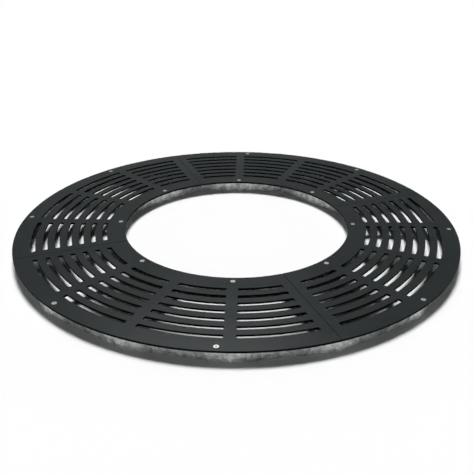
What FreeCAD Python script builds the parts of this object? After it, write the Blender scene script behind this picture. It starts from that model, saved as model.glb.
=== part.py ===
import FreeCAD, Part
import math
import os

# Round steel tree grate: slotted cover quarters, screwed down on a galvanised flat-bar frame that is
# itself four welded quarters bolted together at the seams. The frame's two rings are many-sided, made of
# straight bars that meet under the ribs, and the round covers stand out past them.
# Lengths are millimetres. The origin is on the ground at the middle of the tree opening, +Z is up, and
# the seams lie on the X and Y axes.

# Overall sizes
outer_radius = 600.0            # outside of the covers
opening_radius = 308.0          # edge of the tree opening
quarter_count = 4

# Cover quarters, laser-cut plate
plate_thickness = 5.0
seam_gap = 1.0                  # open line between two neighbouring quarters
seam_margin = 23.0              # solid strip beside each seam
rib_width = 26.0                # solid rib between two sectors of slots
sectors_per_quarter = 4
outer_rim_width = 45.0          # solid rim outside the last row of slots
inner_rim_width = 49.0          # solid rim inside the first row of slots
slot_rows = 7
slot_width = 12.0
slot_corner_radius = 3.0

# Frame, straight flat bars on edge
bar_height = 30.0
bar_thickness = 12.0
outer_ring_inset = 17.0         # from the covers' outer edge to the middle of an outer bar's face
inner_ring_inset = 10.0         # from the opening's edge to the middle of an inner bar's face
inner_bars_per_quarter = 2      # the outer ring has a bar under each sector of slots
end_gap = 0.2                   # fit-up gap at the end of a bar

# Countersunk cover screws
screw_radius = 3.0
screw_head_radius = 6.0
screw_head_sink = 0.2           # head below the cover's face
screw_socket_flats = 4.0
screw_socket_depth = 2.0
screw_length = 20.0
screw_corner_distance = 26.0    # along an outer bar, from the ring's corner to the screw
screw_hole_clearance = 0.3      # round the shank in the cover
screw_seat_clearance = 0.1      # under the head, square to the shank
thread_clearance = 0.1          # round a shank in the bar or nut that it is screwed into
tap_run_out = 3.0               # tapped hole below a screw's tip

# Bolts that join two frame quarters at a seam
bolt_radius = 4.0
bolt_flats = 13.0
bolt_head_height = 5.3
bolt_nut_height = 6.8
bolt_hole_clearance = 0.5
bolt_inset = 60.0               # from a ring's corner to the nearest bolt
thread_proud = 2.0              # thread showing past a nut
washer_radius = 8.0
washer_thickness = 1.6
washer_clearance = 0.2

# Worked out from the sizes above
quarter_angle = 360.0 / quarter_count
sector_angle = quarter_angle / sectors_per_quarter
total_height = bar_height + plate_thickness
first_slot_radius = opening_radius + inner_rim_width + slot_width / 2
last_slot_radius = outer_radius - outer_rim_width - slot_width / 2
slot_pitch = (last_slot_radius - first_slot_radius) / (slot_rows - 1)
outer_bar_angle = sector_angle
inner_bar_angle = quarter_angle / inner_bars_per_quarter
outer_ring_face = outer_radius - outer_ring_inset
inner_ring_face = opening_radius + inner_ring_inset
screw_tip = total_height - screw_head_sink - screw_length
UP = FreeCAD.Vector(0, 0, 1)
CENTRE = FreeCAD.Vector(0, 0, 0)


def outwards(degrees):
    """Unit vector that points away from the middle at an angle from +X."""
    return FreeCAD.Vector(math.cos(math.radians(degrees)), math.sin(math.radians(degrees)), 0)


def beside_ray(radius, degrees, offset):
    """Point on a circle, at a distance to the left of the ray that leaves the middle at an angle."""
    along = outwards(degrees)
    left = UP.cross(along)
    return along * math.sqrt(radius ** 2 - offset ** 2) + left * offset


def arc_between(start, end):
    """Edge from one point to another round the middle."""
    halfway = (start + end).normalize() * start.Length
    return Part.Arc(start, halfway, end).toShape()


def line_between(start, end):
    return Part.LineSegment(start, end).toShape()


def ring_piece(inner_radius, outer_radius, first_ray, last_ray, bottom, height):
    """Upright-sided piece of a ring. Each ray is (angle, offset to its left), and the piece lies between them."""
    inner_start = beside_ray(inner_radius, *first_ray)
    outer_start = beside_ray(outer_radius, *first_ray)
    inner_end = beside_ray(inner_radius, *last_ray)
    outer_end = beside_ray(outer_radius, *last_ray)
    outline = Part.Wire([
        line_between(inner_start, outer_start),
        arc_between(outer_start, outer_end),
        line_between(outer_end, inner_end),
        arc_between(inner_end, inner_start),
    ])
    face = Part.Face(outline)
    face.translate(UP * bottom)
    return face.extrude(UP * height)


def upright_edges(solid):
    """Vertical edges of a solid."""
    return [edge for edge in solid.Edges if edge.BoundBox.ZLength > edge.Length / 2]


def upright_prism(corners, bottom, height):
    """Straight-sided prism on a list of corners."""
    face = Part.Face(Part.makePolygon(corners + corners[:1]))
    face.translate(UP * bottom)
    return face.extrude(UP * height)


def turned(shape, degrees):
    """Copy of a shape, turned about the middle of the grate."""
    copy = shape.copy()
    copy.rotate(CENTRE, UP, degrees)
    return copy


def hexagon(flats, bottom, height):
    """Upright hexagonal prism about the Z axis, flats apart."""
    corner = flats / math.sqrt(3)
    return upright_prism([outwards(60 * step) * corner for step in range(6)], bottom, height)


# Cover quarters

def along_bar(distance, facing, shift):
    """Point at a distance from the middle towards an angle, moved sideways, anticlockwise."""
    away = outwards(facing)
    return away * distance + UP.cross(away) * shift


def screw_places():
    """Place of each cover screw of the first quarter, on the middle line of the bar under it."""
    outer_line = outer_ring_face - bar_thickness / 2
    inner_line = inner_ring_face + bar_thickness / 2
    outer_half_length = outer_line * math.tan(math.radians(outer_bar_angle / 2))
    shift = outer_half_length - screw_corner_distance
    second_bar = 1.5 * outer_bar_angle
    places = [
        along_bar(outer_line, second_bar, -shift),
        along_bar(outer_line, quarter_angle - second_bar, shift),
    ]
    for bar in range(inner_bars_per_quarter):
        places.append(along_bar(inner_line, (bar + 0.5) * inner_bar_angle, 0))
    return places


def slot_cutters():
    """One rounded arc cutter for each slot of a quarter."""
    corner = min(slot_corner_radius, 0.45 * slot_width)
    seam_side = seam_gap / 2 + seam_margin
    cutters = []
    for sector in range(sectors_per_quarter):
        first_side = seam_side if sector == 0 else rib_width / 2
        last_side = seam_side if sector == sectors_per_quarter - 1 else rib_width / 2
        first_ray = (sector * sector_angle, first_side)
        last_ray = ((sector + 1) * sector_angle, -last_side)
        for row in range(slot_rows):
            radius = first_slot_radius + row * slot_pitch
            cutter = ring_piece(radius - slot_width / 2, radius + slot_width / 2,
                                first_ray, last_ray, bar_height, plate_thickness)
            cutters.append(cutter.makeFillet(corner, upright_edges(cutter)))
    return cutters


def countersink_cutter():
    """Screw hole with its countersink, about the Z axis."""
    hole_radius = screw_radius + screw_hole_clearance
    mouth_radius = screw_head_radius + screw_seat_clearance + screw_head_sink
    cone_height = mouth_radius - hole_radius
    hole = Part.makeCylinder(hole_radius, plate_thickness, UP * bar_height)
    mouth = Part.makeCone(hole_radius, mouth_radius, cone_height, UP * (total_height - cone_height))
    return hole.fuse(mouth)


def place_at_screws(shape):
    """Copies of a shape modelled about the Z axis, one at each screw of the first quarter."""
    copies = []
    for place in screw_places():
        copy = shape.copy()
        copy.translate(place)
        copies.append(copy)
    return copies


def cover_plate():
    seam = seam_gap / 2
    plate = ring_piece(opening_radius, outer_radius, (0, seam), (quarter_angle, -seam),
                       bar_height, plate_thickness)
    return plate.cut(slot_cutters() + place_at_screws(countersink_cutter()))


def cover_screw():
    """Countersunk screw with a hexagon socket, about the Z axis."""
    top = total_height - screw_head_sink
    head_bottom = top - (screw_head_radius - screw_radius)
    profile = Part.makePolygon([
        FreeCAD.Vector(0, 0, top),
        FreeCAD.Vector(screw_head_radius, 0, top),
        FreeCAD.Vector(screw_radius, 0, head_bottom),
        FreeCAD.Vector(screw_radius, 0, screw_tip),
        FreeCAD.Vector(0, 0, screw_tip),
        FreeCAD.Vector(0, 0, top),
    ])
    screw = Part.Face(profile).revolve(CENTRE, UP, 360)
    return screw.cut(hexagon(screw_socket_flats, top - screw_socket_depth, screw_socket_depth))


# Frame quarters

def on_face(distance, facing, ray, offset):
    """Point on a bar's face, which is at a distance from the middle and faces an angle.

    The point lies at an offset to the left of a ray that leaves the middle at another angle.
    """
    along = outwards(ray)
    left = UP.cross(along)
    normal = outwards(facing)
    reach = (distance - offset * left.dot(normal)) / along.dot(normal)
    return along * reach + left * offset


def tapped_hole():
    """Hole for a cover screw in a bar's top edge, about the Z axis."""
    bottom = screw_tip - tap_run_out
    return Part.makeCylinder(screw_radius + thread_clearance, bar_height - bottom, UP * bottom)


def ring_bars(inside_face, bar_angle):
    """Straight bars of a ring from seam to seam, mitred at the corners and tapped for the cover screws."""
    outside_face = inside_face + bar_thickness
    holes = place_at_screws(tapped_hole())
    bars = []
    for number in range(round(quarter_angle / bar_angle)):
        first_ray = number * bar_angle
        last_ray = first_ray + bar_angle
        facing = first_ray + bar_angle / 2
        bar = upright_prism([
            on_face(inside_face, facing, first_ray, end_gap / 2),
            on_face(outside_face, facing, first_ray, end_gap / 2),
            on_face(outside_face, facing, last_ray, -end_gap / 2),
            on_face(inside_face, facing, last_ray, -end_gap / 2),
        ], 0, bar_height)
        bars.append(bar.cut(holes))
    return bars


def radial_bar(ray, offsets):
    """Flat bar along a ray from ring to ring, with ends cut to suit the corners that it meets.

    The offsets are its sides, to the left of the ray, and the ray itself where it lies between them.
    """
    inner_end = []
    outer_end = []
    for offset in offsets:
        side = 1 if offset > 0 else -1
        inner_end.append(on_face(inner_ring_face + bar_thickness + end_gap,
                                 ray + side * inner_bar_angle / 2, ray, offset))
        outer_end.append(on_face(outer_ring_face - bar_thickness - end_gap,
                                 ray + side * outer_bar_angle / 2, ray, offset))
    return upright_prism(inner_end + outer_end[::-1], 0, bar_height)


def seam_bolt_places():
    """Middle of each seam bolt, on a seam along +X."""
    height = bar_height / 2
    inner_corner = on_face(inner_ring_face + bar_thickness, inner_bar_angle / 2, 0, 0)
    outer_corner = on_face(outer_ring_face - bar_thickness, outer_bar_angle / 2, 0, 0)
    inset = FreeCAD.Vector(bolt_inset, 0, 0)
    return [corner + UP * height for corner in (inner_corner + inset, outer_corner - inset)]


def seam_bar(seam, offsets):
    """Radial bar along a seam, with holes for the bolts that join it to its neighbour."""
    across = FreeCAD.Vector(0, 1, 0)
    hole_radius = bolt_radius + bolt_hole_clearance
    holes = []
    for place in seam_bolt_places():
        start = place - across * bar_thickness
        hole = Part.makeCylinder(hole_radius, 2 * bar_thickness, start, across)
        holes.append(turned(hole, seam))
    return radial_bar(seam, offsets).cut(holes)


# Seam bolts, each modelled upright about the Z axis with the seam at its middle

def seam_bolt():
    head_seat = bar_thickness + washer_thickness
    length = 2 * head_seat + bolt_nut_height + thread_proud
    shank = Part.makeCylinder(bolt_radius, length, UP * (head_seat - length))
    return shank.fuse(hexagon(bolt_flats, head_seat, bolt_head_height)).removeSplitter()


def seam_nut():
    top = -bar_thickness - washer_thickness
    hole = Part.makeCylinder(bolt_radius + thread_clearance, bolt_nut_height, UP * (top - bolt_nut_height))
    return hexagon(bolt_flats, top - bolt_nut_height, bolt_nut_height).cut(hole)


def seam_washer(bottom):
    rim = Part.makeCylinder(washer_radius, washer_thickness, UP * bottom)
    return rim.cut(Part.makeCylinder(bolt_radius + washer_clearance, washer_thickness, UP * bottom))


def place_at_seam(shapes):
    """Lay upright fasteners across a seam along +X, a set at each bolt."""
    copies = []
    for place in seam_bolt_places():
        for shape in shapes:
            copy = shape.copy()
            copy.rotate(CENTRE, FreeCAD.Vector(1, 0, 0), -90)
            copy.translate(place)
            copies.append(copy)
    return copies


# Assembly: every quarter and seam repeats the first one, a quarter turn on. Each piece of the first quarter
# is a list of nodes, and each node a list of solids.

half_bar = bar_thickness / 2
first_quarter = {
    "cover_plate": [[cover_plate()]],
    "cover_screws": [place_at_screws(cover_screw())],
    "outer_ring_bar": [[bar] for bar in ring_bars(outer_ring_face - bar_thickness, outer_bar_angle)],
    "inner_ring_bar": [[bar] for bar in ring_bars(inner_ring_face, inner_bar_angle)],
    "first_seam_bar": [[seam_bar(0, (0, bar_thickness))]],
    "centre_bar": [[radial_bar(quarter_angle / 2, (-half_bar, 0, half_bar))]],
    "last_seam_bar": [[seam_bar(quarter_angle, (-bar_thickness, 0))]],
    "seam_bolts": [place_at_seam([seam_bolt()])],
    "seam_washers": [place_at_seam([seam_washer(bar_thickness),
                                    seam_washer(-bar_thickness - washer_thickness)])],
    "seam_nuts": [place_at_seam([seam_nut()])],
}

os.makedirs("parts", exist_ok=True)
for quarter in range(quarter_count):
    for piece, nodes in first_quarter.items():
        for number, solids in enumerate(nodes, quarter * len(nodes) + 1):
            placed = [turned(solid, quarter * quarter_angle) for solid in solids]
            node = placed[0] if len(placed) == 1 else Part.makeCompound(placed)
            node.exportStep(f"parts/{piece}_{number}.step")
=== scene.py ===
import math

import bmesh
import bpy
from mathutils import Matrix, Vector


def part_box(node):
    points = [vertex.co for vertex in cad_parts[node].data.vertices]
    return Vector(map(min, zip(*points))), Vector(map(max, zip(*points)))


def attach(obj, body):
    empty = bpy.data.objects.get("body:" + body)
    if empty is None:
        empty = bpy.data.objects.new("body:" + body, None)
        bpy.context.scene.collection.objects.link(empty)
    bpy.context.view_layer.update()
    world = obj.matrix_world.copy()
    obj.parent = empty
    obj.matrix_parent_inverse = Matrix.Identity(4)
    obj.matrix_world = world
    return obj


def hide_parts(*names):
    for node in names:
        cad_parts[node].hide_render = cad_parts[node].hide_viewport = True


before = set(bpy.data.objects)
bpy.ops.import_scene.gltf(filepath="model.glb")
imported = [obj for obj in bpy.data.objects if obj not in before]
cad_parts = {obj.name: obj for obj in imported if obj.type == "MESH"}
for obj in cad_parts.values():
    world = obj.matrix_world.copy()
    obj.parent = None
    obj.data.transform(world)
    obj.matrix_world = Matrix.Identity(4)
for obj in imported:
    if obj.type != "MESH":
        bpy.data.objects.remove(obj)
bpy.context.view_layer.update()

# Sizes of the grate in metres, the same as in the part's source
OUTER_RADIUS = 0.600
OPENING_RADIUS = 0.308
QUARTERS = 4
QUARTER_ANGLE = 2 * math.pi / QUARTERS
BAR_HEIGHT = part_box("outer_ring_bar_1")[1].z
COVER_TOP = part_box("cover_plate_1")[1].z
PLATE_THICKNESS = COVER_TOP - BAR_HEIGHT

# Slotted covers
SEAM_GAP = 0.001
SEAM_MARGIN = 0.023
RIB_WIDTH = 0.026
SECTORS = 4
SLOT_ROWS = 7
SLOT_WIDTH = 0.012
SLOT_CORNER = 0.003
OUTER_RIM = 0.045
INNER_RIM = 0.049
PLATE_EDGE_EASE = 0.0001

# Straight bars of the frame's two rings, which the covers overhang
BAR_THICKNESS = 0.012
OUTER_OVERHANG = 0.017
INNER_OVERHANG = 0.010
OUTER_BARS = QUARTERS * SECTORS
INNER_BARS = 2 * QUARTERS
OUTER_BAR_ANGLE = 2 * math.pi / OUTER_BARS
INNER_BAR_ANGLE = 2 * math.pi / INNER_BARS
OUTER_RING_FACE = OUTER_RADIUS - OUTER_OVERHANG
INNER_RING_FACE = OPENING_RADIUS + INNER_OVERHANG

# Cover screws, over the middle of the bars that take them
SCREW_CORNER_DISTANCE = 0.026
OUTER_BAR_LINE = OUTER_RING_FACE - BAR_THICKNESS / 2
OUTER_SCREW_SHIFT = OUTER_BAR_LINE * math.tan(OUTER_BAR_ANGLE / 2) - SCREW_CORNER_DISTANCE
OUTER_SCREW_RADIUS = math.hypot(OUTER_BAR_LINE, OUTER_SCREW_SHIFT)
OUTER_SCREW_SPREAD = OUTER_BAR_ANGLE / 2 + math.atan2(OUTER_SCREW_SHIFT, OUTER_BAR_LINE)
INNER_SCREW_RADIUS = INNER_RING_FACE + BAR_THICKNESS / 2
INNER_SCREW_SPREAD = INNER_BAR_ANGLE / 2
SCREWS_A_COVER = 4
SCREW_RADIUS = 0.003
SCREW_LENGTH = 0.020
SCREW_HEAD_RADIUS = 0.006
SCREW_HEAD_SINK = 0.0002
SCREW_HOLE_RADIUS = 0.0033
SCREW_MOUTH_RADIUS = 0.0063
SCREW_SOCKET_FLATS = 0.004
SCREW_SOCKET_DEPTH = 0.002
SCREW_PITCH = 0.001
SCREW_RIM = 0.00015

# Bolts across the seams
BOLT_RADIUS = 0.004
BOLT_FLATS = 0.013
BOLT_HEAD_HEIGHT = 0.0053
BOLT_NUT_HEIGHT = 0.0068
BOLT_PITCH = 0.00125
BOLT_INSET = 0.060
WASHER_RADIUS = 0.008
WASHER_HOLE_RADIUS = 0.0042
WASHER_THICKNESS = 0.0016
THREAD_CLEARANCE = 0.0001
THREAD_PROUD = 0.002

# Forms of the fasteners, each as a share of a pitch, a width over flats, a height or a radius
THREAD_DEPTH = 0.32
RIDGE_RADIUS = 0.34
HEX_CORNER = 1 / math.sqrt(3)
HEX_FACE = 0.47
SCREW_TIP = 0.7
BOLT_TIP = 0.75
BOLT_NECK = 1.02
BOLT_THREAD_START = 0.6
BOLT_TOP_FACE = 0.46
BOLT_SEAT_CHAMFER = 0.08
BOLT_TOP_CHAMFER = 0.22
NUT_CHAMFER = 0.16
NUT_MOUTH = 1.18
NUT_MOUTH_DEPTH = 0.16
WASHER_EASE = 0.15

# Seeds of the chance by which the fasteners are spun
SCREW_SEED = 3
BOLT_SEED = 5
NUT_SEED = 7
WASHER_SEED = 11

# Holes in the bars, and the welds and rounded edges under their zinc
TAPPED_HOLE_RADIUS = SCREW_RADIUS + THREAD_CLEARANCE
TAPPED_HOLE_RUN_OUT = 0.003
TAPPED_HOLE_DEPTH = SCREW_LENGTH + SCREW_HEAD_SINK - PLATE_THICKNESS + TAPPED_HOLE_RUN_OUT
BOLT_HOLE_CLEARANCE = 0.0005
BOLT_HOLE_RADIUS = BOLT_RADIUS + BOLT_HOLE_CLEARANCE
BAR_EDGE_ROUND = 0.0016
BEAD_RADIUS = 0.003
BEAD_END_GAP = 0.0025
BEAD_DEPTH = 0.0018
BEAD_STEP = 0.0009
BEAD_RIPPLE = 0.0027

# Thickness of a weld bead, in shares of its radius: along its length, and less at its two ends
BEAD_LEAST = 0.86
BEAD_RIPPLE_SHARE = 0.06
BEAD_WANDER_SHARE = 0.24
BEAD_END_SHARE = 0.55
BEAD_END_GROWTH = 9.0

# Points, sides and steps of round shapes
CORNER_POINTS = 8
ARC_CUTS = 14
OUTLINE_CUTS = 70
HOLE_POINTS = 32
SCREW_SIDES = 40
SHANK_SIDES = 32
HEX_SIDES = 48
WASHER_SIDES = 40
RIDGE_SIDES = 4
RIDGE_STEPS = 20
BAR_EDGE_STEPS = 3
BEAD_SIDES = 10

# Allowances for cutting and merging meshes, and the share of its radius that a screw hole reaches
CUT_PAST = 0.0001
MERGE_DISTANCE = 0.00001
FINE_MERGE_DISTANCE = 0.000001
FLAT_WITHIN = math.radians(0.2)
HOLE_REACH = 1.2

# Angles between two faces past which the edge between them counts as sharp
PLATE_EDGE_ANGLE = math.radians(14)
FASTENER_EDGE_ANGLE = math.radians(32)
BAR_EDGE_ANGLE = math.radians(50)
BEAD_EDGE_ANGLE = math.radians(60)

# Colours of the finishes
COAT_DARK = (0.0137, 0.0183, 0.0187, 1)
COAT_PALE = (0.0165, 0.0219, 0.0222, 1)
# Cut edges and underside of the coat: partly a thinner coat, partly painted shade
COAT_THIN_AND_SHADED = (0.0070, 0.0078, 0.0078, 1)
ZINC_DARK = (0.29, 0.30, 0.295, 1)
ZINC_GREY = (0.53, 0.55, 0.54, 1)
ZINC_BRIGHT = (0.82, 0.85, 0.83, 1)
STAINLESS_DARK = (0.82, 0.82, 0.81, 1)
STAINLESS_BRIGHT = (0.95, 0.95, 0.94, 1)
PLATING_DARK = (0.42, 0.44, 0.45, 1)
PLATING_BRIGHT = (0.58, 0.59, 0.58, 1)
ZINC_RAMP = ((0.25, ZINC_DARK), (0.50, ZINC_GREY), (0.78, ZINC_BRIGHT))

# Place of the zinc on its ramp, how far each pattern and the painted light on the outer corners shift
# it, and where the outer corners lie
ZINC_TONE = 0.48
ZINC_CLOUD_SHIFT = 0.95
ZINC_RUN_SHIFT = 0.5
ZINC_FLAKE_SHIFT = 0.25
# Painted light on the outer ring's corners: how far it lightens the zinc, and how far it reaches
ZINC_CORNER_LIGHT_SHIFT = 0.08
ZINC_CORNER_LIGHT_WIDTH = (0.05, 0.85)
ZINC_OUTSIDE_SQUARE = (0.95 * OUTER_BAR_LINE ** 2, OUTER_BAR_LINE ** 2)

# Gloss of the finishes, with what a pattern adds to the roughness
COAT_ROUGHNESS = 0.24
COAT_CLOUD_ROUGHNESS = 0.08
COAT_EDGE_ROUGHNESS = 0.90
COAT_FACE_SLOPE = (0.75, 0.95)
ZINC_METALLIC = 0.7
ZINC_ROUGHNESS = 0.42
ZINC_FLAKE_ROUGHNESS = 0.16
STAINLESS_METALLIC = 0.94
STAINLESS_ROUGHNESS = 0.25
STAINLESS_GRAIN_ROUGHNESS = 0.15
PLATING_METALLIC = 0.85
PLATING_ROUGHNESS = 0.28
PLATING_GRAIN_ROUGHNESS = 0.16

# Relief of the finishes: its height in metres, its strength and the share of each pattern
COAT_PEEL_HEIGHT = 0.00006
COAT_PEEL_STRENGTH = 0.30
ZINC_RELIEF_HEIGHT = 0.0004
ZINC_RELIEF_STRENGTH = 0.25
ZINC_RUN_RELIEF = 0.7
ZINC_FLAKE_RELIEF = 0.3

# Fineness of the patterns in the finishes, about how many fit in a metre
COAT_CLOUDS = 11.0
COAT_PEEL = 850.0
ZINC_CLOUDS = 60.0
ZINC_RUNS_ACROSS = 90.0
ZINC_RUNS_DOWN = 22.0
ZINC_SPANGLE = 170.0
STAINLESS_GRAIN = 1500.0
PLATING_GRAIN = 400.0
BEAD_UNEVENNESS = 160.0

# Where the photograph was taken from, seen from the middle of the covers' face
VIEW_AZIMUTH = math.radians(-21.0)
VIEW_ELEVATION = math.radians(25.16)
VIEW_DISTANCE = 3.0726 * OUTER_RADIUS
AIM_NEARER = 0.1506 * OUTER_RADIUS
AIM_RIGHT = 0.0025 * OUTER_RADIUS
SENSOR_WIDTH = 36.0
LENS = 50.07
NEARER = Vector((math.sin(VIEW_AZIMUTH), -math.cos(VIEW_AZIMUTH), 0))
RIGHTWARDS = Vector((math.cos(VIEW_AZIMUTH), math.sin(VIEW_AZIMUTH), 0))

# Floor as it is seen, and as it throws light back
FLOOR_HALF_WIDTH = 14.0
FLOOR_WHITE = 0.98
FLOOR_BOUNCE = 0.72
FLOOR_ROUGHNESS = 0.9

# Lamps, with the direction from the grate to each
OVERHEAD_TOWARDS = (0.11, 0.33, 1.0)
OVERHEAD_DISTANCE = 5.0
OVERHEAD_STRENGTH = 0.99 * math.pi
OVERHEAD_SPREAD = math.radians(20.0)
SOFTBOX_TOWARDS = (0.19, 0.70, 0.74)
SOFTBOX_DISTANCE = 5.6
SOFTBOX_POWER = 11.0
SOFTBOX_WIDTH = 2.1
SOFTBOX_HEIGHT = 0.9

# Brightness of the dome's parts, where 1 is white, and where one part passes into the next
DOME_TINT = (0.97, 1.0, 1.0, 1)
DOME_HORIZON = 1.0
DOME_FRONT = 0.08
DOME_BACK = 0.035
DOME_BACK_RIGHT = 0.01
DOME_TOP = 0.01
HORIZON_EDGE = (0.14, 0.24)
TOP_EDGE = (0.60, 0.80)
FRONT_EDGE = (-0.2, 0.5)
RIGHT_EDGE = (0.08, 0.32)


# Node trees written as expressions

class Socket:
    """An output of a node, with the arithmetic that the trees below use."""

    def __init__(self, graph, socket):
        self.graph = graph
        self.socket = socket

    def __add__(self, other):
        return self.graph.maths("ADD", self, other)

    def __radd__(self, other):
        return self.graph.maths("ADD", other, self)

    def __sub__(self, other):
        return self.graph.maths("SUBTRACT", self, other)

    def __rsub__(self, other):
        return self.graph.maths("SUBTRACT", other, self)

    def __mul__(self, other):
        return self.graph.maths("MULTIPLY", self, other)

    def __rmul__(self, other):
        return self.graph.maths("MULTIPLY", other, self)

    def __truediv__(self, other):
        return self.graph.maths("DIVIDE", self, other)

    def __rtruediv__(self, other):
        return self.graph.maths("DIVIDE", other, self)

    def __floordiv__(self, other):
        return self.graph.maths("FLOOR", self.graph.maths("DIVIDE", self, other))

    def __mod__(self, other):
        return self.graph.maths("FLOORED_MODULO", self, other)

    def __gt__(self, other):
        return self.graph.maths("GREATER_THAN", self, other)

    def __lt__(self, other):
        return self.graph.maths("LESS_THAN", self, other)


class Graph:
    """A node tree that nodes are added to."""

    def __init__(self, tree):
        self.tree = tree

    def node(self, kind, settings=None, sockets=None, output=0):
        """Add a node, set it up, feed its inputs and give back one of its outputs."""
        made = self.tree.nodes.new(kind)
        for name, value in (settings or {}).items():
            if name == "stops":
                self.set_stops(made.color_ramp, value)
            elif name == "choices":
                self.set_choices(made, value)
            else:
                setattr(made, name, value)
        for name, value in (sockets or {}).items():
            self.feed(made.inputs[name], value)
        return Socket(self, made.outputs[output]) if made.outputs else None

    def feed(self, target, value):
        """Link a socket, or several to one that takes several, or set a plain value."""
        if isinstance(value, Socket):
            self.tree.links.new(value.socket, target)
        elif isinstance(value, list):
            for one in value:
                self.tree.links.new(one.socket, target)
        else:
            target.default_value = value

    def set_stops(self, ramp, stops):
        while len(ramp.elements) < len(stops):
            ramp.elements.new(1.0)
        for element, (place, colour) in zip(ramp.elements, stops):
            element.position = place
            element.color = colour

    def set_choices(self, switch, count):
        while len(switch.index_switch_items) < count:
            switch.index_switch_items.new()

    def maths(self, operation, *values):
        return self.node("ShaderNodeMath", {"operation": operation}, dict(enumerate(values)))

    def output(self, socket, name):
        """Another output of the node that a socket belongs to."""
        return Socket(self, socket.socket.node.outputs[name])

    def xyz(self, vector):
        """The three numbers of a vector."""
        x = self.node("ShaderNodeSeparateXYZ", None, {0: vector})
        return x, self.output(x, "Y"), self.output(x, "Z")

    def vector(self, x, y, z):
        return self.node("ShaderNodeCombineXYZ", None, {0: x, 1: y, 2: z})

    def polar(self, radius, angle):
        """Point on the ground at a radius and an angle round the middle."""
        x = radius * self.maths("COSINE", angle)
        y = radius * self.maths("SINE", angle)
        return self.vector(x, y, 0.0)

    def equal(self, first, second):
        """1 where two whole numbers are the same, or else 0."""
        return self.maths("COMPARE", first, second, 0.5)


# Finishes

def new_finish(name):
    """Material with a Principled shader; gives the graph and the shader as well."""
    material = bpy.data.materials.new(name)
    material.use_nodes = True
    shader = material.node_tree.nodes["Principled BSDF"]
    return material, Graph(material.node_tree), shader


def object_point(graph):
    return graph.node("ShaderNodeTexCoord", None, None, "Object")


def noise(graph, point, scale, detail=2.0, roughness=0.5):
    sockets = {"Vector": point, "Scale": scale, "Detail": detail, "Roughness": roughness}
    return graph.node("ShaderNodeTexNoise", None, sockets, "Fac")


def grey(level):
    return (level, level, level, 1)


def mixed(graph, factor, first, second):
    """Colour between two colours, whose sockets go by number because others share their names."""
    sockets = {"Factor": factor, 6: first, 7: second}
    return graph.node("ShaderNodeMix", {"data_type": "RGBA"}, sockets, 2)


def eased(graph, value, low, high):
    """0 below a value, 1 above another, and a smooth step between them."""
    sockets = {"Value": value, "From Min": low, "From Max": high}
    return graph.node("ShaderNodeMapRange", {"interpolation_type": "SMOOTHSTEP"}, sockets)


def ramp(graph, value, stops):
    return graph.node("ShaderNodeValToRGB", {"stops": stops}, {0: value})


def bumped(graph, shader, height, distance, strength):
    sockets = {"Height": height, "Distance": distance, "Strength": strength}
    graph.feed(shader.inputs["Normal"], graph.node("ShaderNodeBump", None, sockets))


def powder_coat():
    """Satin charcoal powder coat with a fine orange peel, painted dark and dull on cut edges and
    underneath: partly a thinner coat, partly painted shade.
    """
    material, graph, shader = new_finish("powder_coat")
    point = object_point(graph)
    cloud = noise(graph, point, COAT_CLOUDS, detail=3.0)
    peel = noise(graph, point, COAT_PEEL)
    normal = graph.node("ShaderNodeNewGeometry", None, None, "Normal")
    face = eased(graph, graph.xyz(normal)[2], *COAT_FACE_SLOPE)
    flat = mixed(graph, cloud, COAT_DARK, COAT_PALE)
    # Sides and underside take the dark colour, dark metallic and rough: painted shade as well as a
    # thinner coat
    graph.feed(shader.inputs["Base Color"], mixed(graph, face, COAT_THIN_AND_SHADED, flat))
    graph.feed(shader.inputs["Metallic"], 1.0 - face)
    smoother = COAT_EDGE_ROUGHNESS - COAT_ROUGHNESS - cloud * COAT_CLOUD_ROUGHNESS
    graph.feed(shader.inputs["Roughness"], COAT_EDGE_ROUGHNESS - face * smoother)
    bumped(graph, shader, peel, COAT_PEEL_HEIGHT, COAT_PEEL_STRENGTH)
    return material


def zinc_coat():
    """Hot-dip zinc: clouded, with a faint spangle, runs down the sides and painted light that brightens
    the outer ring's corners.
    """
    material, graph, shader = new_finish("zinc_coat")
    point = object_point(graph)
    x, y, z = graph.xyz(point)
    cloud = noise(graph, point, ZINC_CLOUDS, detail=3.0)
    drawn_out = graph.vector(x * ZINC_RUNS_ACROSS, y * ZINC_RUNS_ACROSS, z * ZINC_RUNS_DOWN)
    runs = noise(graph, drawn_out, 1.0, detail=4.0, roughness=0.6)
    cells = {"Vector": point, "Scale": ZINC_SPANGLE}
    spangle = graph.node("ShaderNodeTexVoronoi", None, cells, "Color")
    flake = graph.node("ShaderNodeSeparateColor", None, {0: spangle})
    round_ring = graph.maths("SINE", graph.maths("ARCTAN2", y, x) * (OUTER_BARS / 2))
    outside = eased(graph, x * x + y * y, *ZINC_OUTSIDE_SQUARE)
    from_corner = graph.maths("ABSOLUTE", round_ring)
    # Painted light: the outer ring's faces are lightened towards its corners
    corner = outside * (1.0 - eased(graph, from_corner, *ZINC_CORNER_LIGHT_WIDTH))
    clouded = ZINC_TONE + (cloud - 0.5) * ZINC_CLOUD_SHIFT + (runs - 0.5) * ZINC_RUN_SHIFT
    tone = clouded + (flake - 0.5) * ZINC_FLAKE_SHIFT + corner * ZINC_CORNER_LIGHT_SHIFT
    graph.feed(shader.inputs["Base Color"], ramp(graph, tone, ZINC_RAMP))
    graph.feed(shader.inputs["Metallic"], ZINC_METALLIC)
    graph.feed(shader.inputs["Roughness"], ZINC_ROUGHNESS + flake * ZINC_FLAKE_ROUGHNESS)
    relief = runs * ZINC_RUN_RELIEF + flake * ZINC_FLAKE_RELIEF
    bumped(graph, shader, relief, ZINC_RELIEF_HEIGHT, ZINC_RELIEF_STRENGTH)
    return material


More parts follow.
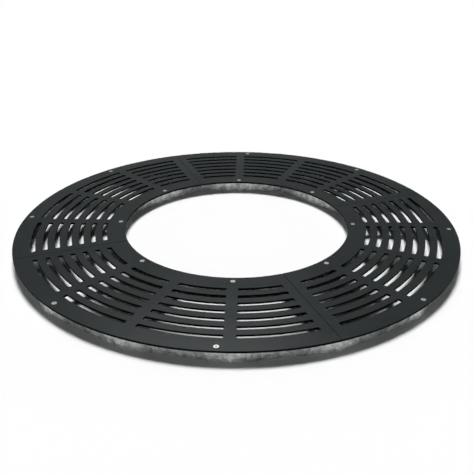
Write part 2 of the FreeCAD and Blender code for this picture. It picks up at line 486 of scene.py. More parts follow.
def stainless():
    """Bright stainless of the cover screws."""
    material, graph, shader = new_finish("stainless")
    grain = noise(graph, object_point(graph), STAINLESS_GRAIN)
    graph.feed(shader.inputs["Base Color"], mixed(graph, grain, STAINLESS_DARK, STAINLESS_BRIGHT))
    graph.feed(shader.inputs["Metallic"], STAINLESS_METALLIC)
    graph.feed(shader.inputs["Roughness"], STAINLESS_ROUGHNESS + grain * STAINLESS_GRAIN_ROUGHNESS)
    return material


def plated_zinc():
    """Thin bright zinc plating of the seam bolts."""
    material, graph, shader = new_finish("plated_zinc")
    grain = noise(graph, object_point(graph), PLATING_GRAIN, detail=3.0)
    graph.feed(shader.inputs["Base Color"], mixed(graph, grain, PLATING_DARK, PLATING_BRIGHT))
    graph.feed(shader.inputs["Metallic"], PLATING_METALLIC)
    graph.feed(shader.inputs["Roughness"], PLATING_ROUGHNESS + grain * PLATING_GRAIN_ROUGHNESS)
    return material


def pale_floor():
    """Matt floor, white wherever it is seen, that throws less light back under the grate."""
    material, graph, shader = new_finish("pale_floor")
    path = graph.node("ShaderNodeLightPath", None, None, "Is Camera Ray")
    mirrored = graph.output(path, "Is Glossy Ray") + graph.output(path, "Is Transmission Ray")
    seen = graph.maths("MINIMUM", path + mirrored, 1.0)
    graph.feed(shader.inputs["Base Color"], mixed(graph, seen, grey(FLOOR_BOUNCE), grey(FLOOR_WHITE)))
    graph.feed(shader.inputs["Roughness"], FLOOR_ROUGHNESS)
    graph.feed(shader.inputs["Specular IOR Level"], 0.0)
    return material


COVER_COAT = powder_coat()
FRAME_ZINC = zinc_coat()
SCREW_STAINLESS = stainless()
FASTENER_ZINC = plated_zinc()


# Making pieces with geometry nodes

SOCKET_KINDS = {
    float: "NodeSocketFloat",
    int: "NodeSocketInt",
    bpy.types.Material: "NodeSocketMaterial",
}


def new_tree(name, values):
    """Geometry tree with a named input for each value; gives its graph and those inputs."""
    tree = bpy.data.node_groups.new(name, "GeometryNodeTree")
    tree.interface.new_socket("Geometry", in_out="OUTPUT", socket_type="NodeSocketGeometry")
    tree.interface.new_socket("Geometry", in_out="INPUT", socket_type="NodeSocketGeometry")
    for label, value in values.items():
        tree.interface.new_socket(label, in_out="INPUT", socket_type=SOCKET_KINDS[type(value)])
    graph = Graph(tree)
    start = graph.node("NodeGroupInput")
    inputs = {label: graph.output(start, label) for label in values}
    inputs["Geometry"] = start
    return graph, inputs


def end_tree(graph, geometry, material):
    """Turn a tree's instances into real geometry and give it its finish."""
    real = graph.node("GeometryNodeRealizeInstances", None, {"Geometry": geometry})
    coated = graph.node("GeometryNodeSetMaterial", None, {"Geometry": real, "Material": material})
    graph.node("NodeGroupOutput", None, {"Geometry": coated})


def carried(name, mesh):
    piece = bpy.data.objects.new(name, mesh)
    bpy.context.collection.objects.link(piece)
    return piece


def plain_mesh(carrier):
    """Mesh of an object with its modifiers worked in; the object itself is thrown away."""
    shape = carrier.evaluated_get(bpy.context.evaluated_depsgraph_get())
    mesh = bpy.data.meshes.new_from_object(shape)
    bpy.data.objects.remove(carrier)
    return mesh


def grown_mesh(graph, values, base):
    """Mesh that a geometry tree makes from a base mesh."""
    carrier = carried(graph.tree.name, base)
    modifier = carrier.modifiers.new("nodes", "NODES")
    modifier.node_group = graph.tree
    for item in graph.tree.interface.items_tree:
        if item.in_out == "INPUT" and item.name in values:
            modifier[item.identifier] = values[item.name]
    return plain_mesh(carrier)


def points_mesh(name, places, edges=()):
    mesh = bpy.data.meshes.new(name)
    mesh.from_pydata(places, edges, [])
    return mesh


def joined(graph, *parts):
    return graph.node("GeometryNodeJoinGeometry", None, {0: list(parts)})


def merged(graph, mesh, distance=MERGE_DISTANCE):
    return graph.node("GeometryNodeMergeByDistance", None, {"Geometry": mesh, "Distance": distance})


def moved_up(graph, mesh, height):
    place = graph.vector(0.0, 0.0, height)
    return graph.node("GeometryNodeTransform", None, {"Geometry": mesh, "Translation": place})


def shade_by_angle(mesh, angle):
    """Shade a mesh smooth, apart from the edges between faces that lean further than an angle."""
    mesh.shade_smooth()
    mesh.set_sharp_from_angle(angle=angle)


def fasten(piece, body, slot, *nodes):
    """Let a piece ride on a body, in place of CAD nodes. The slot argument is not used."""
    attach(piece, body)
    if nodes:
        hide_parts(*nodes)


def quarter_turn(quarters):
    """Turn about the middle by a number of quarters."""
    return Matrix.Rotation(quarters * QUARTER_ANGLE, 4, "Z")


def set_quarters(mesh, name, node, slot, on_cover=False):
    """Four copies of a first-quarter mesh, a quarter turn apart, each in place of one CAD node."""
    for number in range(1, QUARTERS + 1):
        turned = mesh.copy()
        turned.transform(quarter_turn(number - 1))
        piece = carried(f"{name}_{number}", turned)
        fasten(piece, f"cover_{number}" if on_cover else "frame", slot, f"{node}_{number}")


# Slotted covers

def ring_outlines(graph, count, cuts, middle_radius, half_width, corner, rays):
    """Closed outlines, each between two arcs round the middle and two straight sides beside rays.

    middle_radius(number) is the radius halfway between an outline's arcs, and rays(number, radius)
    gives the angles where the outline starts and ends at a radius. Each outline is first a rounded
    oblong, laid out flat, and is then bent round the middle.
    """
    points = 4 * CORNER_POINTS
    ring = graph.node("GeometryNodeCurvePrimitiveCircle", None, {"Resolution": points})
    copies = graph.node("GeometryNodeDuplicateElements", {"domain": "SPLINE"},
                        {"Geometry": ring, "Amount": count})
    index = graph.node("GeometryNodeInputIndex")
    number = index // points
    step = index % points
    turn = (step + 0.5) * (2 * math.pi / points)
    across = graph.maths("COSINE", turn)
    outward = graph.maths("SINE", turn)
    radius = middle_radius(number)
    first, last = rays(number, radius)
    length = radius * (last - first)
    along = graph.maths("SIGN", across) * (length * 0.5 - corner) + across * corner
    away = graph.maths("SIGN", outward) * (half_width - corner) + outward * corner
    laid_out = graph.vector(along / length + 0.5, radius + away, number)
    flat = graph.node("GeometryNodeSetPosition", None, {"Geometry": copies, "Position": laid_out})
    long_side = graph.equal(step, CORNER_POINTS - 1.0) + graph.equal(step, 3 * CORNER_POINTS - 1.0)
    divided = graph.node("GeometryNodeSubdivideCurve", None, {"Curve": flat, "Cuts": long_side * cuts})
    along, radius, number = graph.xyz(graph.node("GeometryNodeInputPosition"))
    first, last = rays(number, radius)
    bent = graph.polar(radius, first + along * (last - first))
    return graph.node("GeometryNodeSetPosition", None, {"Geometry": divided, "Position": bent})


def slot_outlines(graph, given):
    """Outline of every slot of a cover."""
    first_row = given["Opening Radius"] + given["Inner Rim"] + given["Slot Width"] * 0.5
    last_row = given["Outer Radius"] - given["Outer Rim"] - given["Slot Width"] * 0.5
    pitch = (last_row - first_row) / (given["Rows"] - 1.0)
    sector_angle = QUARTER_ANGLE / given["Sectors"]
    rib_side = given["Rib Width"] * 0.5
    seam_side = given["Seam Gap"] * 0.5 + given["Seam Margin"]

    def sector_of(number):
        return (number + 0.5) // given["Rows"]

    def middle_radius(number):
        return first_row + (number - sector_of(number) * given["Rows"]) * pitch

    def rays(number, radius):
        sector = sector_of(number)
        first_side = rib_side + (seam_side - rib_side) * (sector < 0.5)
        last_side = rib_side + (seam_side - rib_side) * (sector > given["Sectors"] - 1.5)
        first = sector * sector_angle + graph.maths("ARCSINE", first_side / radius)
        last = (sector + 1.0) * sector_angle - graph.maths("ARCSINE", last_side / radius)
        return first, last

    count = given["Rows"] * given["Sectors"]
    return ring_outlines(graph, count, float(ARC_CUTS), middle_radius, given["Slot Width"] * 0.5,
                         given["Slot Corner"], rays)


def cover_outline(graph, given):
    """Outline of a cover quarter, from seam to seam."""
    half_width = (given["Outer Radius"] - given["Opening Radius"]) * 0.5
    middle = given["Opening Radius"] + half_width
    seam_side = given["Seam Gap"] * 0.5

    def rays(number, radius):
        lean = graph.maths("ARCSINE", seam_side / radius)
        return lean, QUARTER_ANGLE - lean

    return ring_outlines(graph, 1, float(OUTLINE_CUTS), lambda number: middle, half_width,
                         given["Seam Gap"], rays)


def screw_points(graph, given):
    """A point on the floor plane under each screw of a cover."""
    index = graph.node("GeometryNodeInputIndex")
    outer = index < SCREWS_A_COVER / 2 - 0.5
    side = (index % 2.0) * 2.0 - 1.0
    further = given["Outer Screw Radius"] - given["Inner Screw Radius"]
    wider = given["Outer Screw Spread"] - given["Inner Screw Spread"]
    radius = given["Inner Screw Radius"] + further * outer
    spread = given["Inner Screw Spread"] + wider * outer
    place = graph.polar(radius, QUARTER_ANGLE / 2 + side * spread)
    return graph.node("GeometryNodePoints", None, {"Count": SCREWS_A_COVER, "Position": place})


def raised(graph, mesh, height, top=None):
    """Push the faces of a sheet up; gives the mesh and which of its faces are on top."""
    sockets = {"Mesh": mesh, "Offset": (0, 0, 1), "Offset Scale": height, "Individual": False}
    if top is not None:
        sockets["Selection"] = top
    pushed = graph.node("GeometryNodeExtrudeMesh", None, sockets)
    return pushed, graph.output(pushed, "Top")


def nearest_screw(graph, screws, x, y):
    """The nearest screw's place, and how far away it is."""
    near = graph.node("GeometryNodeProximity", {"target_element": "POINTS"},
                      {"Geometry": screws, "Sample Position": graph.vector(x, y, 0.0)})
    screw_x, screw_y, _ = graph.xyz(near)
    return screw_x, screw_y, graph.output(near, "Distance")


def eased_edges(graph, mesh, screws, given):
    """Draw in the rims of a plate's two faces, to ease every cut edge but the screw holes'."""
    x, y, z = graph.xyz(graph.node("GeometryNodeInputPosition"))
    distance = nearest_screw(graph, screws, x, y)[2]
    on_side = (z < given["Edge Ease"] * 0.5) + (z > given["Thickness"] - given["Edge Ease"] * 0.5)
    on_rim = (distance > given["Hole Radius"] * HOLE_REACH) * on_side
    wall_x, wall_y, _ = graph.xyz(graph.node("GeometryNodeInputNormal"))
    pull = given["Edge Ease"] / graph.maths("SQRT", wall_x * wall_x + wall_y * wall_y)
    inward = graph.vector(0.0 - wall_x * pull, 0.0 - wall_y * pull, 0.0)
    return graph.node("GeometryNodeSetPosition", None,
                      {"Geometry": mesh, "Selection": on_rim, "Offset": inward})


def countersunk(graph, mesh, screws, given):
    """Widen the upper end of every screw hole to the cone of its countersink."""
    x, y, z = graph.xyz(graph.node("GeometryNodeInputPosition"))
    screw_x, screw_y, distance = nearest_screw(graph, screws, x, y)
    on_wall = distance < given["Hole Radius"] * HOLE_REACH
    cone_foot = given["Thickness"] - given["Mouth Radius"] + given["Hole Radius"]
    growth = graph.maths("MAXIMUM", z - cone_foot, 0.0) / given["Hole Radius"]
    outward = graph.vector((x - screw_x) * growth, (y - screw_y) * growth, 0.0)
    return graph.node("GeometryNodeSetPosition", None,
                      {"Geometry": mesh, "Selection": on_wall, "Offset": outward})


def slotted_covers():
    """Cover quarters, each cut from plate with rows of arc slots and countersunk screw holes."""
    values = {
        "Outer Radius": OUTER_RADIUS, "Opening Radius": OPENING_RADIUS,
        "Bottom": BAR_HEIGHT, "Thickness": PLATE_THICKNESS,
        "Seam Gap": SEAM_GAP, "Seam Margin": SEAM_MARGIN, "Rib Width": RIB_WIDTH,
        "Sectors": SECTORS, "Rows": SLOT_ROWS, "Slot Width": SLOT_WIDTH, "Slot Corner": SLOT_CORNER,
        "Outer Rim": OUTER_RIM, "Inner Rim": INNER_RIM,
        "Outer Screw Radius": OUTER_SCREW_RADIUS, "Outer Screw Spread": OUTER_SCREW_SPREAD,
        "Inner Screw Radius": INNER_SCREW_RADIUS, "Inner Screw Spread": INNER_SCREW_SPREAD,
        "Hole Radius": SCREW_HOLE_RADIUS, "Mouth Radius": SCREW_MOUTH_RADIUS,
        "Edge Ease": PLATE_EDGE_EASE, "Coat": COVER_COAT,
    }
    graph, given = new_tree("slotted_cover", values)
    screws = screw_points(graph, given)
    hole = graph.node("GeometryNodeCurvePrimitiveCircle", None,
                      {"Resolution": HOLE_POINTS, "Radius": given["Hole Radius"]})
    holes = graph.node("GeometryNodeInstanceOnPoints", None, {"Points": screws, "Instance": hole})
    cut_holes = graph.node("GeometryNodeRealizeInstances", None, {"Geometry": holes})
    drawing = joined(graph, cover_outline(graph, given), slot_outlines(graph, given), cut_holes)
    sheet = graph.node("GeometryNodeFillCurve", {"mode": "TRIANGLES"}, {"Curve": drawing})
    under = graph.node("GeometryNodeFlipFaces", None, {"Mesh": sheet})
    ease = given["Edge Ease"]
    cone_height = given["Mouth Radius"] - given["Hole Radius"]
    plate, top = raised(graph, sheet, ease)
    for step in (given["Thickness"] - cone_height - ease, cone_height - ease, ease):
        plate, top = raised(graph, plate, step, top)
    closed = merged(graph, joined(graph, plate, under))
    finished = countersunk(graph, eased_edges(graph, closed, screws, given), screws, given)
    end_tree(graph, moved_up(graph, finished, given["Bottom"]), given["Coat"])
    mesh = grown_mesh(graph, values, points_mesh("cover_start", []))
    shade_by_angle(mesh, PLATE_EDGE_ANGLE)
    set_quarters(mesh, "slotted_cover", "cover_plate", "cover_coat", on_cover=True)


# Screws, bolts, nuts and washers

def chosen(graph, number, choices):
    """The value that stands at a number in a list."""
    sockets = {"Index": number}
    for place, value in enumerate(choices):
        sockets[str(place)] = value
    settings = {"data_type": "FLOAT", "choices": len(choices)}
    return graph.node("GeometryNodeIndexSwitch", settings, sockets)


def turned_body(graph, rings, around, hollow=False):
    """Body turned about the Z axis, with a ring at each (radius, height) from the bottom up.

    The first and the last ring are closed by flat faces. A hollow body ends on its first ring again.
    """
    steps = len(rings) - 1
    tube = graph.node("GeometryNodeMeshCylinder", {"fill_type": "NONE" if hollow else "NGON"}, {
        "Vertices": around, "Side Segments": steps, "Radius": 1.0, "Depth": float(steps)})
    x, y, z = graph.xyz(graph.node("GeometryNodeInputPosition"))
    number = graph.maths("FLOOR", z + (steps / 2 + 0.5))
    radius = chosen(graph, number, [ring[0] for ring in rings])
    height = chosen(graph, number, [ring[1] for ring in rings])
    place = graph.vector(x * radius, y * radius, height)
    body = graph.node("GeometryNodeSetPosition", None, {"Geometry": tube, "Position": place})
    return merged(graph, body, FINE_MERGE_DISTANCE)


def hexagon(graph, flats, bottom, height):
    """Upright hexagonal prism about the Z axis."""
    prism = graph.node("GeometryNodeMeshCylinder", None,
                       {"Vertices": 6, "Radius": flats * HEX_CORNER, "Depth": height})
    return moved_up(graph, prism, bottom + height * 0.5)


def common(graph, first, second):
    shape = graph.node("GeometryNodeMeshBoolean", {"operation": "INTERSECT", "solver": "EXACT"},
                       {1: [first, second]})
    return merged(graph, shape)


def cut_out(graph, body, tool):
    shape = graph.node("GeometryNodeMeshBoolean", {"operation": "DIFFERENCE", "solver": "EXACT"},
                       {0: body, 1: [tool]})
    return merged(graph, shape)


def thread(graph, core, pitch, bottom, height):
    """Ridge that winds up a shank."""
    helix = graph.node("GeometryNodeCurveSpiral", None, {
        "Resolution": RIDGE_STEPS, "Rotations": height / pitch, "Height": height,
        "Start Radius": core, "End Radius": core})
    ridge = graph.node("GeometryNodeCurvePrimitiveCircle", None,
                       {"Resolution": RIDGE_SIDES, "Radius": pitch * RIDGE_RADIUS})
    wound = graph.node("GeometryNodeCurveToMesh", None,
                       {"Curve": helix, "Profile Curve": ridge, "Fill Caps": True})
    return moved_up(graph, wound, bottom)


def set_at_places(graph, given, body, lying):
    """A copy of a fastener at every point of the base mesh, spun by chance, upright or along +Y."""
    spin = graph.node("FunctionNodeRandomValue", {"data_type": "FLOAT"},
                      {2: 0.0, 3: 2 * math.pi, "Seed": given["Seed"]}, 1)
    turn = graph.vector(-math.pi / 2, spin, 0.0) if lying else graph.vector(0.0, 0.0, spin)
    copies = graph.node("GeometryNodeInstanceOnPoints", None,
                        {"Points": given["Geometry"], "Instance": body, "Rotation": turn})
    end_tree(graph, copies, given["Finish"])


def screw_places(height):
    """A point at each screw of the first cover, at a height."""
    places = []
    rings = ((OUTER_SCREW_RADIUS, OUTER_SCREW_SPREAD), (INNER_SCREW_RADIUS, INNER_SCREW_SPREAD))
    for side in (-1, 1):
        for radius, spread in rings:
            angle = QUARTER_ANGLE / 2 + side * spread
            places.append((radius * math.cos(angle), radius * math.sin(angle), height))
    return places


def seam_places():
    """Middle of each bolt across the first seam, along +X."""
    inner_corner = (INNER_RING_FACE + BAR_THICKNESS) / math.cos(INNER_BAR_ANGLE / 2)
    outer_corner = (OUTER_RING_FACE - BAR_THICKNESS) / math.cos(OUTER_BAR_ANGLE / 2)
    radii = (inner_corner + BOLT_INSET, outer_corner - BOLT_INSET)
    return [(radius, 0, BAR_HEIGHT / 2) for radius in radii]


def socket_screws():
    """Countersunk stainless screws with a hexagon socket."""
    values = {
        "Head Radius": SCREW_HEAD_RADIUS, "Radius": SCREW_RADIUS, "Length": SCREW_LENGTH,
        "Pitch": SCREW_PITCH, "Socket Flats": SCREW_SOCKET_FLATS, "Socket Depth": SCREW_SOCKET_DEPTH,
        "Seed": SCREW_SEED, "Finish": SCREW_STAINLESS,
    }
    graph, given = new_tree("socket_screw", values)
    core = given["Radius"] - given["Pitch"] * THREAD_DEPTH
    head = given["Head Radius"]
    neck = given["Radius"] - head
    tip = 0.0 - given["Length"]
    blank = turned_body(graph, [
        (core * SCREW_TIP, tip), (core, tip + core * (1 - SCREW_TIP)), (core, neck),
        (head, -2 * SCREW_RIM), (head, -SCREW_RIM), (head - SCREW_RIM, 0.0)], SCREW_SIDES)
    depth = given["Socket Depth"]
    socket = hexagon(graph, given["Socket Flats"], 0.0 - depth, depth * 2.0)
    ridge_start = tip + given["Pitch"]
    ridge = thread(graph, core, given["Pitch"], ridge_start, neck - given["Pitch"] - ridge_start)
    set_at_places(graph, given, joined(graph, cut_out(graph, blank, socket), ridge), lying=False)
    places = screw_places(COVER_TOP - SCREW_HEAD_SINK)
    mesh = grown_mesh(graph, values, points_mesh("screw_places", places))
    shade_by_angle(mesh, FASTENER_EDGE_ANGLE)
    set_quarters(mesh, "socket_screws", "cover_screws", "screw_stainless", on_cover=True)


def hex_bolts():
    """Hexagon bolts across the seams, with the seam at their middle and the head above it."""
    values = {
        "Flats": BOLT_FLATS, "Head Height": BOLT_HEAD_HEIGHT,
        "Radius": BOLT_RADIUS, "Pitch": BOLT_PITCH,
        "Seat": BAR_THICKNESS + WASHER_THICKNESS,
        "Tail": BAR_THICKNESS + WASHER_THICKNESS + BOLT_NUT_HEIGHT + THREAD_PROUD,
        "Seed": BOLT_SEED, "Finish": FASTENER_ZINC,
    }
    graph, given = new_tree("hex_bolt", values)
    seat = given["Seat"]
    height = given["Head Height"]
    top = seat + height
    tail = 0.0 - given["Tail"]
    corner = given["Flats"] * HEX_CORNER
    envelope = turned_body(graph, [
        (given["Flats"] * HEX_FACE, seat), (corner, seat + height * BOLT_SEAT_CHAMFER),
        (corner, top - height * BOLT_TOP_CHAMFER), (given["Flats"] * BOLT_TOP_FACE, top)], HEX_SIDES)
    head = common(graph, hexagon(graph, given["Flats"], seat, height), envelope)
    core = given["Radius"] - given["Pitch"] * THREAD_DEPTH
    shank = turned_body(graph, [
        (core * BOLT_TIP, tail), (core, tail + core * (1 - BOLT_TIP)),
        (core, seat * BOLT_NECK)], SHANK_SIDES)
    start = given["Pitch"] * BOLT_THREAD_START
    ridge = thread(graph, core, given["Pitch"], tail + start, seat - tail - start * 2.0)
    set_at_places(graph, given, joined(graph, head, shank, ridge), lying=True)
    mesh = grown_mesh(graph, values, points_mesh("bolt_places", seam_places()))
    shade_by_angle(mesh, FASTENER_EDGE_ANGLE)
    set_quarters(mesh, "hex_bolts", "seam_bolts", "fastener_zinc")


def hex_nuts():
    """Nuts of the seam bolts, chamfered on both faces."""
    values = {"Flats": BOLT_FLATS, "Height": BOLT_NUT_HEIGHT, "Top": -BAR_THICKNESS - WASHER_THICKNESS,
              "Hole Radius": BOLT_RADIUS + THREAD_CLEARANCE, "Seed": NUT_SEED, "Finish": FASTENER_ZINC}
    graph, given = new_tree("hex_nut", values)
    top = given["Top"]
    bottom = top - given["Height"]
    face = given["Flats"] * HEX_FACE
    corner = given["Flats"] * HEX_CORNER
    chamfer = given["Height"] * NUT_CHAMFER
    envelope = turned_body(graph, [
        (face, bottom), (corner, bottom + chamfer), (corner, top - chamfer), (face, top)], HEX_SIDES)
    block = common(graph, hexagon(graph, given["Flats"], bottom, given["Height"]), envelope)
    hole = given["Hole Radius"]
    mouth = hole * NUT_MOUTH
    depth = hole * NUT_MOUTH_DEPTH
    drill = turned_body(graph, [
        (mouth, bottom - CUT_PAST), (hole, bottom + depth),
        (hole, top - depth), (mouth, top + CUT_PAST)], SHANK_SIDES)
    set_at_places(graph, given, cut_out(graph, block, drill), lying=True)
    mesh = grown_mesh(graph, values, points_mesh("nut_places", seam_places()))
    shade_by_angle(mesh, FASTENER_EDGE_ANGLE)
    set_quarters(mesh, "hex_nuts", "seam_nuts", "fastener_zinc")


def flat_washers():
    """Washers under the heads and the nuts of the seam bolts."""
    values = {"Radius": WASHER_RADIUS, "Hole Radius": WASHER_HOLE_RADIUS, "Thickness": WASHER_THICKNESS,
              "Seat": BAR_THICKNESS, "Seed": WASHER_SEED, "Finish": FASTENER_ZINC}
    graph, given = new_tree("flat_washer", values)
    ease = given["Thickness"] * WASHER_EASE
    hole = given["Hole Radius"]
    rim = given["Radius"]
    washers = []
    for bottom in (given["Seat"], 0.0 - given["Seat"] - given["Thickness"]):
        top = bottom + given["Thickness"]
        washers.append(turned_body(graph, [
            (hole, bottom), (rim - ease, bottom), (rim, bottom + ease), (rim, top - ease),
            (rim - ease, top), (hole, top), (hole, bottom)], WASHER_SIDES, hollow=True))
    set_at_places(graph, given, joined(graph, *washers), lying=True)
    mesh = grown_mesh(graph, values, points_mesh("washer_places", seam_places()))
    shade_by_angle(mesh, FASTENER_EDGE_ANGLE)
    set_quarters(mesh, "flat_washers", "seam_washers", "fastener_zinc")


# Zinc-coated bars and welds

def bar_outline(mesh):
    """Corners of a CAD bar's underside, which has no holes, in the order of a face that looks down."""
    shape = bmesh.new()
    shape.from_mesh(mesh)
    bmesh.ops.remove_doubles(shape, verts=shape.verts, dist=FINE_MERGE_DISTANCE)
    bmesh.ops.dissolve_limit(shape, angle_limit=FLAT_WITHIN, verts=shape.verts, edges=shape.edges)
    underside = min(shape.faces, key=lambda face: face.calc_center_median().z)
    corners = [vertex.co.copy() for vertex in underside.verts]
    shape.free()
    return corners


def plain_bar(name, outline):
    """Upright bar over an outline, in zinc."""
    count = len(outline)
    top = [corner + Vector((0, 0, BAR_HEIGHT)) for corner in outline]
    faces = [tuple(range(count)), tuple(range(2 * count - 1, count - 1, -1))]
    for corner in range(count):
        following = (corner + 1) % count
        faces.append((following, corner, corner + count, following + count))
    bar = bpy.data.meshes.new(name)
    bar.from_pydata(outline + top, [], faces)
    bar.materials.append(FRAME_ZINC)
    return bar


def bar_drill():
    """Object with the shape of every hole in the bars: for the cover screws, and across the seams."""
    shape = bmesh.new()
    lying = Matrix.Rotation(math.pi / 2, 4, "X")
    for quarter in range(QUARTERS):
        turn = quarter_turn(quarter)
        holes = [(turn @ Matrix.Translation(place), TAPPED_HOLE_RADIUS, 2 * TAPPED_HOLE_DEPTH)
                 for place in screw_places(BAR_HEIGHT)]
        holes += [(turn @ Matrix.Translation(place) @ lying, BOLT_HOLE_RADIUS, 4 * BAR_THICKNESS)
                  for place in seam_places()]
        for place, radius, length in holes:
            bmesh.ops.create_cone(shape, cap_ends=True, segments=HOLE_POINTS, radius1=radius,
                                  radius2=radius, depth=length, matrix=place)
    mesh = bpy.data.meshes.new("bar_drill")
    shape.to_mesh(mesh)
    shape.free()
    return carried("bar_drill", mesh)


def rounded_bar(bar, drill):
    """Bar with its edges rounded over and its holes drilled."""
    carrier = carried(bar.name, bar)
    bevel = carrier.modifiers.new("round", "BEVEL")
    bevel.width = BAR_EDGE_ROUND
    bevel.segments = BAR_EDGE_STEPS
    bevel.limit_method = "ANGLE"
    bevel.angle_limit = BAR_EDGE_ANGLE
    holes = carrier.modifiers.new("holes", "BOOLEAN")
    holes.operation = "DIFFERENCE"
    holes.solver = "EXACT"
    holes.object = drill
    return plain_mesh(carrier)


def flat_faced(mesh):
    """Mesh shaded smooth over its rounded edges, with its flat faces kept flat."""
    shade_by_angle(mesh, BAR_EDGE_ANGLE)
    carrier = carried(mesh.name, mesh)
    normals = carrier.modifiers.new("normals", "WEIGHTED_NORMAL")
    normals.keep_sharp = True
    return plain_mesh(carrier)


def coated_bars():
    """Every bar of the frame with its edges softened by rolling and the zinc."""
    kinds = {"outer_ring_bar": OUTER_BARS, "inner_ring_bar": INNER_BARS,
             "first_seam_bar": QUARTERS, "centre_bar": QUARTERS, "last_seam_bar": QUARTERS}
    drill = bar_drill()
    for kind, count in kinds.items():
        for number in range(1, count + 1):
            node = f"{kind}_{number}"
            name = f"coated_{node}"
            bar = plain_bar(name, bar_outline(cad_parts[node].data))
            piece = carried(name, flat_faced(rounded_bar(bar, drill)))
            fasten(piece, "frame", "frame_zinc", node)
    bpy.data.objects.remove(drill)


def on_face(distance, facing, ray, offset):
    """Point on a bar's face, at a distance from the middle, to the left of a ray by an offset."""
    along = Vector((math.cos(ray), math.sin(ray), 0))
    left = Vector((-along.y, along.x, 0))
    normal = Vector((math.cos(facing), math.sin(facing), 0))
    reach = (distance - offset * left.dot(normal)) / along.dot(normal)
    return along * reach + left * offset


def upright_path(foot):
    """Both ends of an upright weld over a point on the ground."""
    return [foot + Vector((0, 0, z)) for z in (BEAD_END_GAP, BAR_HEIGHT - BEAD_END_GAP)]


def bead_paths():
    """Both ends of every weld of the first quarter: mitred corners of the rings, and radial bars."""
    paths = []
    rings = ((INNER_RING_FACE, INNER_RING_FACE + BAR_THICKNESS, INNER_BAR_ANGLE),
             (OUTER_RING_FACE, OUTER_RING_FACE - BAR_THICKNESS, OUTER_BAR_ANGLE))
    centre = QUARTER_ANGLE / 2
    sides = ((0.0, BAR_THICKNESS), (centre, -BAR_THICKNESS / 2), (centre, BAR_THICKNESS / 2),
             (QUARTER_ANGLE, -BAR_THICKNESS))
    for shown_face, hidden_face, bar_angle in rings:
        sunk = math.copysign(BEAD_DEPTH, hidden_face - shown_face)
        corners = round(QUARTER_ANGLE / bar_angle) - 1
        for number in range(1, corners + 1):
            ray = number * bar_angle
            paths.append(upright_path(on_face(shown_face + sunk, ray + bar_angle / 2, ray, 0.0)))
        for ray, offset in sides:
            facing = ray + math.copysign(bar_angle / 2, offset)
            paths.append(upright_path(on_face(hidden_face, facing, ray, offset)))
    return paths


def weld_beads():
    """Rippled weld metal along the joints of the frame, under the zinc."""
    values = {"Bead Radius": BEAD_RADIUS, "Step": BEAD_STEP, "Ripple": BEAD_RIPPLE,
              "Finish": FRAME_ZINC}
    graph, given = new_tree("weld_bead", values)
    lines = graph.node("GeometryNodeMeshToCurve", None, {"Mesh": given["Geometry"]})
    fine = graph.node("GeometryNodeResampleCurve", {"mode": "LENGTH"},
                      {"Curve": lines, "Length": given["Step"]})
    along = graph.node("GeometryNodeSplineParameter", None, None, "Length")
    part = graph.node("GeometryNodeSplineParameter", None, None, "Factor")
    ripple = graph.maths("SINE", along / given["Ripple"] * (2 * math.pi))
    wander = noise(graph, graph.node("GeometryNodeInputPosition"), BEAD_UNEVENNESS)
    ends = graph.maths("MINIMUM", 1.0, BEAD_END_SHARE + part * (1.0 - part) * BEAD_END_GROWTH)
    share = BEAD_LEAST + ripple * BEAD_RIPPLE_SHARE + wander * BEAD_WANDER_SHARE
    size = given["Bead Radius"] * ends * share
    profile = graph.node("GeometryNodeCurvePrimitiveCircle", None,
                         {"Resolution": BEAD_SIDES, "Radius": 1.0})
    beads = graph.node("GeometryNodeCurveToMesh", None,
                       {"Curve": fine, "Profile Curve": profile, "Scale": size, "Fill Caps": True})
    end_tree(graph, beads, given["Finish"])
    places = []
    edges = []
    for quarter in range(QUARTERS):
        turn = quarter_turn(quarter)
        for path in bead_paths():
            edges.append((len(places), len(places) + 1))
            places.extend(turn @ end for end in path)
    mesh = grown_mesh(graph, values, points_mesh("bead_paths", places, edges))
    shade_by_angle(mesh, BEAD_EDGE_ANGLE)
    fasten(carried("weld_beads", mesh), "frame", "frame_zinc")


# Stage, light and camera

def lay_floor():
    mesh = bpy.data.meshes.new("floor")
    signs = ((-1, -1), (1, -1), (1, 1), (-1, 1))
    corners = [(x * FLOOR_HALF_WIDTH, y * FLOOR_HALF_WIDTH, 0) for x, y in signs]
    mesh.from_pydata(corners, [], [(0, 1, 2, 3)])
    mesh.materials.append(pale_floor())
    carried("floor", mesh)


def hang_lamp(name, kind, towards, distance, energy):
    """Lamp in a direction from the middle of the covers' face, pointed back at it."""
    lamp = bpy.data.lights.new(name, kind)
    lamp.energy = energy
    holder = bpy.data.objects.new(name, lamp)
    bpy.context.collection.objects.link(holder)
    direction = Vector(towards).normalized()
    holder.location = Vector((0, 0, COVER_TOP)) + direction * distance
    holder.rotation_mode = "QUATERNION"
    holder.rotation_quaternion = direction.to_track_quat("Z", "Y")
    return lamp


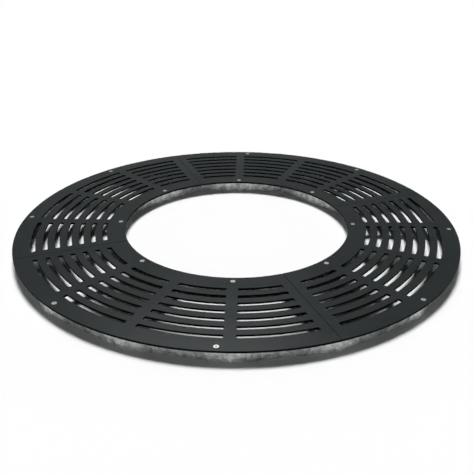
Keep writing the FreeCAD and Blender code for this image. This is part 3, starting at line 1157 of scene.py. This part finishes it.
def light_studio():
    """A soft lamp overhead, and a softbox behind for the sheen on the covers."""
    overhead = hang_lamp("overhead", "SUN", OVERHEAD_TOWARDS, OVERHEAD_DISTANCE, OVERHEAD_STRENGTH)
    overhead.angle = OVERHEAD_SPREAD
    softbox = hang_lamp("softbox", "AREA", SOFTBOX_TOWARDS, SOFTBOX_DISTANCE, SOFTBOX_POWER)
    softbox.shape = "RECTANGLE"
    softbox.size = SOFTBOX_WIDTH
    softbox.size_y = SOFTBOX_HEIGHT


def raise_dome():
    """White horizon under a dome of faint light, faintest behind on the right and overhead."""
    world = bpy.data.worlds.new("dome")
    world.use_nodes = True
    bpy.context.scene.world = world
    background = world.node_tree.nodes["Background"]
    graph = Graph(world.node_tree)
    x, y, z = graph.xyz(graph.node("ShaderNodeTexCoord", None, None, "Generated"))
    front = eased(graph, x * NEARER.x + y * NEARER.y, *FRONT_EDGE)
    right = eased(graph, x * RIGHTWARDS.x + y * RIGHTWARDS.y, *RIGHT_EDGE)
    back = DOME_BACK + right * (DOME_BACK_RIGHT - DOME_BACK)
    horizon = 1.0 - eased(graph, z, *HORIZON_EDGE)
    low = 1.0 - eased(graph, z, *TOP_EDGE)
    strength = DOME_TOP + low * (back - DOME_TOP + front * (DOME_FRONT - back))
    graph.feed(background.inputs["Strength"], strength + horizon * (DOME_HORIZON - strength))
    graph.feed(background.inputs["Color"], DOME_TINT)


def set_camera():
    data = bpy.data.cameras.new("camera")
    data.sensor_width = SENSOR_WIDTH
    data.lens = LENS
    camera = bpy.data.objects.new("camera", data)
    bpy.context.collection.objects.link(camera)
    middle = Vector((0, 0, COVER_TOP))
    towards = NEARER * math.cos(VIEW_ELEVATION) + Vector((0, 0, math.sin(VIEW_ELEVATION)))
    camera.location = middle + towards * VIEW_DISTANCE
    aim = middle + NEARER * AIM_NEARER + RIGHTWARDS * AIM_RIGHT
    camera.rotation_mode = "QUATERNION"
    camera.rotation_quaternion = (aim - camera.location).to_track_quat("-Z", "Y")
    bpy.context.scene.camera = camera


slotted_covers()
socket_screws()
coated_bars()
weld_beads()
hex_bolts()
hex_nuts()
flat_washers()
lay_floor()
light_studio()
raise_dome()
set_camera()
bpy.context.scene.view_settings.view_transform = "Standard"
